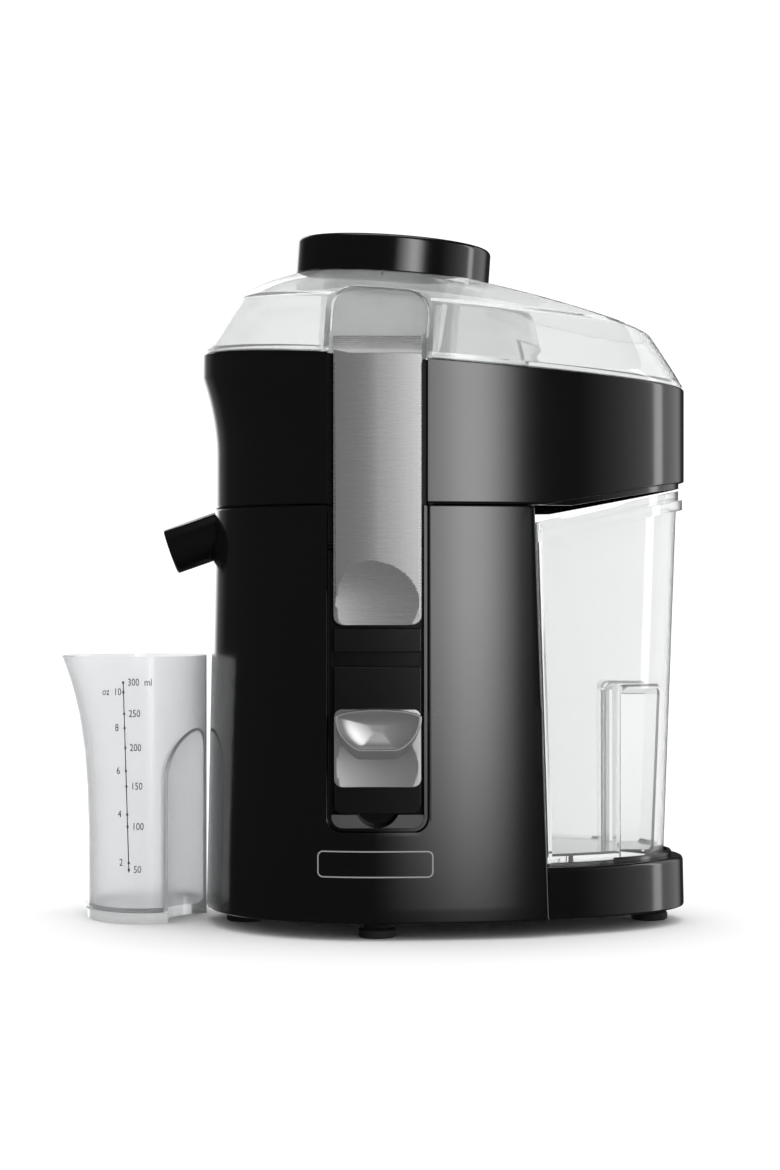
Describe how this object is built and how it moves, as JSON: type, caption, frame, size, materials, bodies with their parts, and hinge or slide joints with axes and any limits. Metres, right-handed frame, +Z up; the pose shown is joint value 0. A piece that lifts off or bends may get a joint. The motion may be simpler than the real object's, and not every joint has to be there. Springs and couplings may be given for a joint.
{
  "type": "centrifugal_juicer",
  "caption": "Compact centrifugal juicer: egg-shaped tower, clear domed lid with feed chute, latch, slide switch, pulp container, spout and juice cup",
  "frame": {"origin": "middle of the whole part's box in plan, at the height of the surface that the feet stand on", "axes": "+Z up; X is the long axis, with the spout and the juice cup at -X and the pulp container at +X; the latch and the switch face -Y"},
  "size_m": [0.2828, 0.163, 0.3043],
  "materials": {
    "black_gloss": "gloss",
    "black_matt": "satin",
    "silver": "satin",
    "clear": "clear",
    "rubber": "matt",
    "steel": "brushed",
    "iron": "satin",
    "copper": "varnished"
  },
  "bodies": {
    "base": {"base_housing": "black_gloss", "base_plate": "black_matt", "container_tray": "black_gloss", "channel_liner": "black_matt", "cord_gland": "black_matt", "juice_bowl": "black_gloss", "juice_spout": "black_gloss", "spout_seal": "rubber", "rubber_foot_1": "rubber", "rubber_foot_2": "rubber", "rubber_foot_3": "rubber", "rubber_foot_4": "rubber", "base_screw_1": "steel", "base_screw_2": "steel", "base_screw_3": "steel", "base_screw_4": "steel", "latch_pin": "steel", "latch_spring": "steel", "interlock_switch": "black_matt", "power_switch": "black_matt", "detent_spring": "steel", "motor_can": "iron", "motor_bracket": "iron", "stator": "iron", "winding_upper": "copper", "winding_lower": "copper", "lower_bearing": "steel", "upper_bearing": "steel", "brush_holder_left": "black_matt", "brush_holder_right": "black_matt", "shaft_seal": "rubber", "motor_mount_1": "rubber", "motor_mount_2": "rubber", "motor_mount_3": "rubber"},
    "latch": {"latch_cover": "silver", "latch_carrier": "black_matt"},
    "switch": {"switch_slider": "black_gloss", "switch_knob": "silver"},
    "rotor": {"motor_shaft": "steel", "armature": "iron", "commutator": "copper", "cooling_fan": "black_matt", "drive_coupling": "black_matt", "strainer_basket": "steel", "grater_disc": "steel", "disc_nut": "steel"},
    "lid": {"lid": "clear"},
    "pusher": {"pusher_cap": "black_gloss", "pusher_body": "clear"},
    "container": {"pulp_container": "clear"},
    "cup": {"juice_cup": "clear"}
  },
  "joints": [
    {"name": "rotor_spin", "type": "hinge", "parent": "base", "child": "rotor", "pos_m": [0.00195, 0.0025, 0.1], "axis": [0, 0, 1], "continuous": true},
    {"name": "latch_swing", "type": "hinge", "parent": "base", "child": "latch", "pos_m": [0.00195, -0.0645, 0.166], "axis": [1, 0, 0], "range_deg": [0, 12], "stiffness_Nm_per_rad": 0.6, "springref_deg": -14.32},
    {"name": "switch_slide", "type": "slide", "parent": "base", "child": "switch", "axis": [0, 0, 1], "range_m": [0, 0.006]},
    {"name": "lid_lift", "type": "slide", "parent": "base", "child": "lid", "axis": [0.0678, 0, 0.9977], "range_m": [0, 0.12]},
    {"name": "pusher_lift", "type": "slide", "parent": "lid", "child": "pusher", "axis": [0.0678, 0, 0.9977], "range_m": [0, 0.08]},
    {"name": "container_tilt", "type": "hinge", "parent": "base", "child": "container", "pos_m": [0.13215, 0.0025, 0.0302], "axis": [0, 1, 0], "range_deg": [0, 40]},
    {"name": "cup_slide", "type": "slide", "parent": "base", "child": "cup", "axis": [-1, 0, 0], "range_m": [0, 0.1]}
  ]
}
